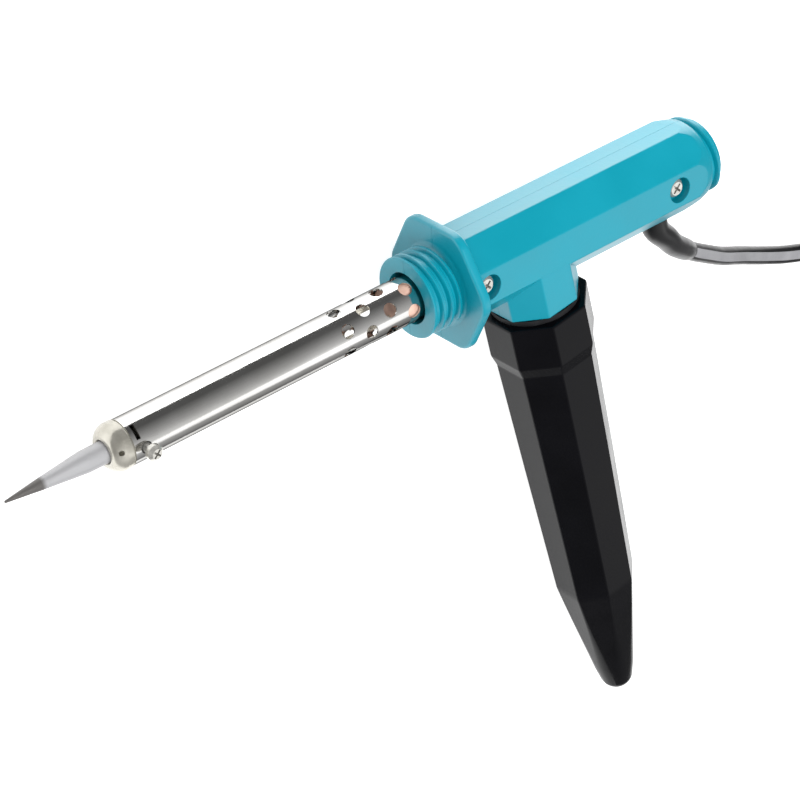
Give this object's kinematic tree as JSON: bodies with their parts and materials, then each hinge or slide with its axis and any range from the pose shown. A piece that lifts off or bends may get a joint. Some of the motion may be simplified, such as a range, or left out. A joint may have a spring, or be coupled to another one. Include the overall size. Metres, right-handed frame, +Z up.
{
  "type": "soldering iron",
  "caption": "Corded soldering iron with an eight-sided handle, vented barrel, straight tip and a screw-on hollow pistol grip that also caps the barrel.",
  "frame": {"origin": "on the bench plane, under the middle of the tool's box without its free cord", "axes": "+Z up from the bench, +X along the plan of the barrel towards the tip, +Y along the plan of the grip towards its nose"},
  "size_m": [0.4118, 0.2391, 0.0444],
  "materials": {
    "teal_plastic": "glossy moulded",
    "black_plastic": "glossy moulded",
    "black_rubber": "satin",
    "chrome_tube": "polished",
    "nickel": "plated",
    "plated_tip": "plated",
    "steel": "zinc plated",
    "heating_wire": "oxidised",
    "ceramic": "unglazed",
    "mica": "dull",
    "glass_sleeving": "woven",
    "fibre": "dull",
    "core_insulation": "smooth",
    "cord_vinyl": "satin",
    "tie_strap": "woven",
    "brass": "polished"
  },
  "bodies": {
    "handle": {"right_shell": "teal_plastic", "left_shell": "teal_plastic", "shell_screws": "steel", "barrel": "chrome_tube", "barrel_plate": "steel", "nose_bush": "nickel", "heater_core": "ceramic", "heater_winding": "heating_wire", "mica_sleeve": "mica", "terminal_block": "ceramic", "lead_wires": "glass_sleeving", "crimps": "steel", "cord_clamp": "fibre", "clamp_screws": "steel", "core_wires": "core_insulation", "cord_boot": "cord_vinyl", "cord": "cord_vinyl", "cord_coil": "cord_vinyl", "cord_tie": "tie_strap", "cord_tail": "cord_vinyl", "plug": "cord_vinyl", "plug_blades": "brass"},
    "ring": {"grip_ring": "black_rubber"},
    "grip": {"grip": "black_plastic"},
    "tip": {"tip": "plated_tip"},
    "tip_screw": {"tip_screw": "steel"}
  },
  "joints": [
    {"name": "grip_travel", "type": "slide", "parent": "handle", "child": "ring", "axis": [-0.1452, 0.9855, -0.0878], "range_m": [0, 0.012]},
    {"name": "grip_turn", "type": "hinge", "parent": "ring", "child": "grip", "pos_m": [-0.06281, -0.01944, 0.01873], "axis": [-0.1452, 0.9855, -0.0878], "range_deg": [0, 1440]},
    {"name": "tip_slide", "type": "slide", "parent": "handle", "child": "tip", "axis": [0.9937, -0.0118, -0.1117], "range_m": [0, 0.055]},
    {"name": "tip_screw_turn", "type": "hinge", "parent": "handle", "child": "tip_screw", "pos_m": [0.08549, -0.07923, 0.01782], "axis": [0.1123, 0.1045, 0.9882], "range_deg": [0, 720]}
  ],
  "couplings": [
    {"joint": "grip_travel", "follows": "grip_turn", "m_per_rad": 0.00047746}
  ]
}
